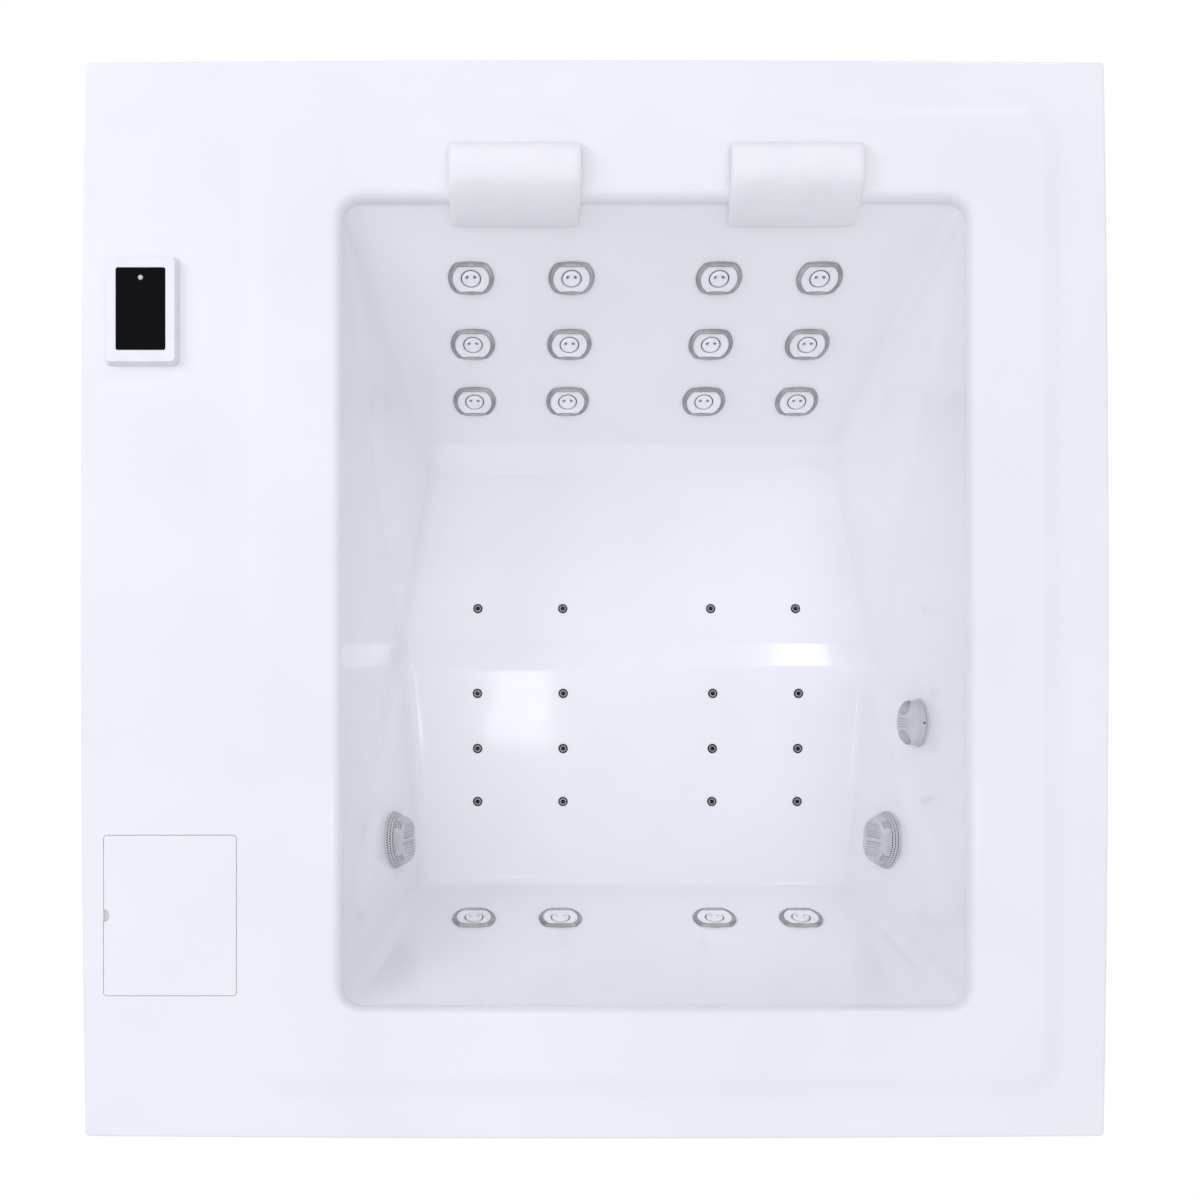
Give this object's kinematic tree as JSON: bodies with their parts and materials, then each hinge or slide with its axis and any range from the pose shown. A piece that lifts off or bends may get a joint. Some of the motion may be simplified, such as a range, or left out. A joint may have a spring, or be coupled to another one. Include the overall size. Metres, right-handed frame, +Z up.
{
  "type": "hot tub",
  "caption": "Rectangular acrylic hot tub with a sloped lounging wall and seat, a leg well, water jets, air nozzles, two head pillows, a touch controller and a filter hatch.",
  "frame": {"origin": "middle of the footprint, on the floor", "axes": "+Z up, +Y towards the end with the pillows, +X towards the bather's left when lying with the head on the pillows; the equipment bay is at -X"},
  "size_m": [1.858, 1.949, 0.755],
  "materials": {
    "acrylic": "polished",
    "tube_paint": "satin",
    "foot_rubber": "matt",
    "skirt_panel": "fine grain",
    "screw_steel": "satin",
    "jet_chrome": "satin chrome",
    "jet_white": "smooth",
    "fitting_grey": "smooth",
    "pipe_white": "smooth",
    "pod_glass": "black, gloss",
    "equipment_black": "satin",
    "motor_paint": "satin",
    "heater_steel": "brushed",
    "filter_fleece": "pleated fleece",
    "pillow_foam": "soft moulded foam skin",
    "box_grey": "satin"
  },
  "bodies": {
    "tub": {"acrylic_shell": "acrylic", "frame_side_rails": "tube_paint", "frame_cross_rails": "tube_paint", "frame_posts": "tube_paint", "levelling_feet": "foot_rubber", "equipment_tray": "equipment_black", "skirt_front": "skirt_panel", "skirt_rear": "skirt_panel", "skirt_left": "skirt_panel", "skirt_right": "skirt_panel", "skirt_screws": "screw_steel", "drain_outlet": "fitting_grey", "cable_gland": "equipment_black", "jet_trims": "jet_chrome", "jet_faces": "jet_white", "jet_bodies": "pipe_white", "air_nozzle_caps": "jet_chrome", "air_nozzle_bodies": "pipe_white", "suction_cover_left": "fitting_grey", "suction_cover_right": "fitting_grey", "suction_bodies": "pipe_white", "overflow_flange": "fitting_grey", "overflow_body": "pipe_white", "control_bezel": "jet_white", "control_glass": "pod_glass", "control_sensor": "fitting_grey", "control_housing": "equipment_black", "filter_bucket": "pipe_white", "filter_cartridge": "filter_fleece", "pump_motor": "motor_paint", "pump_volute": "equipment_black", "blower_housing": "equipment_black", "heater_tube": "heater_steel", "control_box": "box_grey", "jet_pipes": "pipe_white", "suction_pipes": "pipe_white", "air_pipes": "pipe_white", "left_pillow": "pillow_foam", "right_pillow": "pillow_foam"},
    "nozzle_top_1": {"nozzle_top_1": "jet_white"},
    "nozzle_top_2": {"nozzle_top_2": "jet_white"},
    "nozzle_top_3": {"nozzle_top_3": "jet_white"},
    "nozzle_top_4": {"nozzle_top_4": "jet_white"},
    "nozzle_mid_1": {"nozzle_mid_1": "jet_white"},
    "nozzle_mid_2": {"nozzle_mid_2": "jet_white"},
    "nozzle_mid_3": {"nozzle_mid_3": "jet_white"},
    "nozzle_mid_4": {"nozzle_mid_4": "jet_white"},
    "nozzle_low_1": {"nozzle_low_1": "jet_white"},
    "nozzle_low_2": {"nozzle_low_2": "jet_white"},
    "nozzle_low_3": {"nozzle_low_3": "jet_white"},
    "nozzle_low_4": {"nozzle_low_4": "jet_white"},
    "nozzle_foot_1": {"nozzle_foot_1": "jet_white"},
    "nozzle_foot_2": {"nozzle_foot_2": "jet_white"},
    "nozzle_foot_3": {"nozzle_foot_3": "jet_white"},
    "nozzle_foot_4": {"nozzle_foot_4": "jet_white"},
    "overflow_knob": {"overflow_knob": "fitting_grey"},
    "hatch_lid": {"hatch_lid": "acrylic"},
    "pump_impeller": {"pump_impeller": "fitting_grey"},
    "blower_fan": {"blower_fan": "fitting_grey"}
  },
  "joints": [
    {"name": "nozzle_top_1_turn", "type": "hinge", "parent": "tub", "child": "nozzle_top_1", "pos_m": [-0.228, 0.62026, 0.57552], "axis": [0, -0.7708, 0.637], "continuous": true},
    {"name": "nozzle_top_2_turn", "type": "hinge", "parent": "tub", "child": "nozzle_top_2", "pos_m": [-0.037, 0.62026, 0.57552], "axis": [0, -0.7708, 0.637], "continuous": true},
    {"name": "nozzle_top_3_turn", "type": "hinge", "parent": "tub", "child": "nozzle_top_3", "pos_m": [0.243, 0.62026, 0.57552], "axis": [0, -0.7708, 0.637], "continuous": true},
    {"name": "nozzle_top_4_turn", "type": "hinge", "parent": "tub", "child": "nozzle_top_4", "pos_m": [0.434, 0.62026, 0.57552], "axis": [0, -0.7708, 0.637], "continuous": true},
    {"name": "nozzle_mid_1_turn", "type": "hinge", "parent": "tub", "child": "nozzle_mid_1", "pos_m": [-0.228, 0.52343, 0.45835], "axis": [0, -0.7708, 0.637], "continuous": true},
    {"name": "nozzle_mid_2_turn", "type": "hinge", "parent": "tub", "child": "nozzle_mid_2", "pos_m": [-0.037, 0.52343, 0.45835], "axis": [0, -0.7708, 0.637], "continuous": true},
    {"name": "nozzle_mid_3_turn", "type": "hinge", "parent": "tub", "child": "nozzle_mid_3", "pos_m": [0.243, 0.52343, 0.45835], "axis": [0, -0.7708, 0.637], "continuous": true},
    {"name": "nozzle_mid_4_turn", "type": "hinge", "parent": "tub", "child": "nozzle_mid_4", "pos_m": [0.434, 0.52343, 0.45835], "axis": [0, -0.7708, 0.637], "continuous": true},
    {"name": "nozzle_low_1_turn", "type": "hinge", "parent": "tub", "child": "nozzle_low_1", "pos_m": [-0.228, 0.43298, 0.34889], "axis": [0, -0.7708, 0.637], "continuous": true},
    {"name": "nozzle_low_2_turn", "type": "hinge", "parent": "tub", "child": "nozzle_low_2", "pos_m": [-0.037, 0.43298, 0.34889], "axis": [0, -0.7708, 0.637], "continuous": true},
    {"name": "nozzle_low_3_turn", "type": "hinge", "parent": "tub", "child": "nozzle_low_3", "pos_m": [0.243, 0.43298, 0.34889], "axis": [0, -0.7708, 0.637], "continuous": true},
    {"name": "nozzle_low_4_turn", "type": "hinge", "parent": "tub", "child": "nozzle_low_4", "pos_m": [0.434, 0.43298, 0.34889], "axis": [0, -0.7708, 0.637], "continuous": true},
    {"name": "nozzle_foot_1_turn", "type": "hinge", "parent": "tub", "child": "nozzle_foot_1", "pos_m": [-0.228, -0.62467, 0.39606], "axis": [0, 0.9371, 0.349], "continuous": true},
    {"name": "nozzle_foot_2_turn", "type": "hinge", "parent": "tub", "child": "nozzle_foot_2", "pos_m": [-0.053, -0.62467, 0.39606], "axis": [0, 0.9371, 0.349], "continuous": true},
    {"name": "nozzle_foot_3_turn", "type": "hinge", "parent": "tub", "child": "nozzle_foot_3", "pos_m": [0.259, -0.62467, 0.39606], "axis": [0, 0.9371, 0.349], "continuous": true},
    {"name": "nozzle_foot_4_turn", "type": "hinge", "parent": "tub", "child": "nozzle_foot_4", "pos_m": [0.434, -0.62467, 0.39606], "axis": [0, 0.9371, 0.349], "continuous": true},
    {"name": "overflow_knob_turn", "type": "hinge", "parent": "tub", "child": "overflow_knob", "pos_m": [0.64221, -0.226, 0.508], "axis": [-0.9859, 0, 0.1676], "range_deg": [0, 90]},
    {"name": "hatch_lid_lift", "type": "slide", "parent": "tub", "child": "hatch_lid", "axis": [0, 0, 1], "range_m": [0, 0.12]},
    {"name": "pump_impeller_spin", "type": "hinge", "parent": "tub", "child": "pump_impeller", "pos_m": [-0.64, -0.15, 0.16], "axis": [0, 1, 0], "continuous": true},
    {"name": "blower_fan_spin", "type": "hinge", "parent": "tub", "child": "blower_fan", "pos_m": [-0.64, 0.42, 0.119], "axis": [0, 0, 1], "continuous": true}
  ]
}
